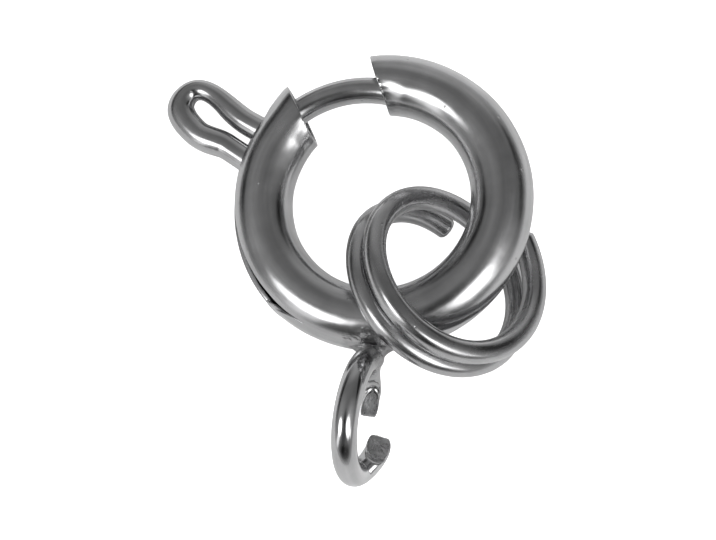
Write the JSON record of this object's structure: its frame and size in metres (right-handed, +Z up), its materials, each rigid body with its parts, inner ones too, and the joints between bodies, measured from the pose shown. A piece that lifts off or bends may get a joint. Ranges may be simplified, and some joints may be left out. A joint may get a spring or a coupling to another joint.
{
  "type": "spring ring clasp",
  "caption": "Large spring ring clasp with a wire tongue and bent thumb loop, a soldered open end loop and a split ring threaded on the tube.",
  "frame": {"origin": "centre of the ring, on the middle of its tube", "axes": "+Z up from the table that the clasp lies on; the ring's own axis leans 14.1 degrees from +Z, so that the side with the thumb loop is low; -Y towards the end loop and +Y towards the mouth"},
  "size_m": [0.0224, 0.0256, 0.0089],
  "materials": {
    "tube_metal": "polished",
    "wire_metal": "polished",
    "spring_steel": "drawn wire",
    "split_ring_metal": "polished"
  },
  "bodies": {
    "clasp": {"ring_tube": "tube_metal", "spring": "spring_steel", "split_ring": "split_ring_metal"},
    "bolt": {"bolt": "wire_metal"}
  },
  "joints": [
    {"name": "bolt_slide_round", "type": "hinge", "parent": "clasp", "child": "bolt", "pos_m": [0, 0, 0], "axis": [-0.2388, 0.0482, 0.9699], "range_deg": [0, 50], "stiffness_Nm_per_rad": 0.0124, "springref_deg": -33.23, "deforming": ["spring"]}
  ]
}
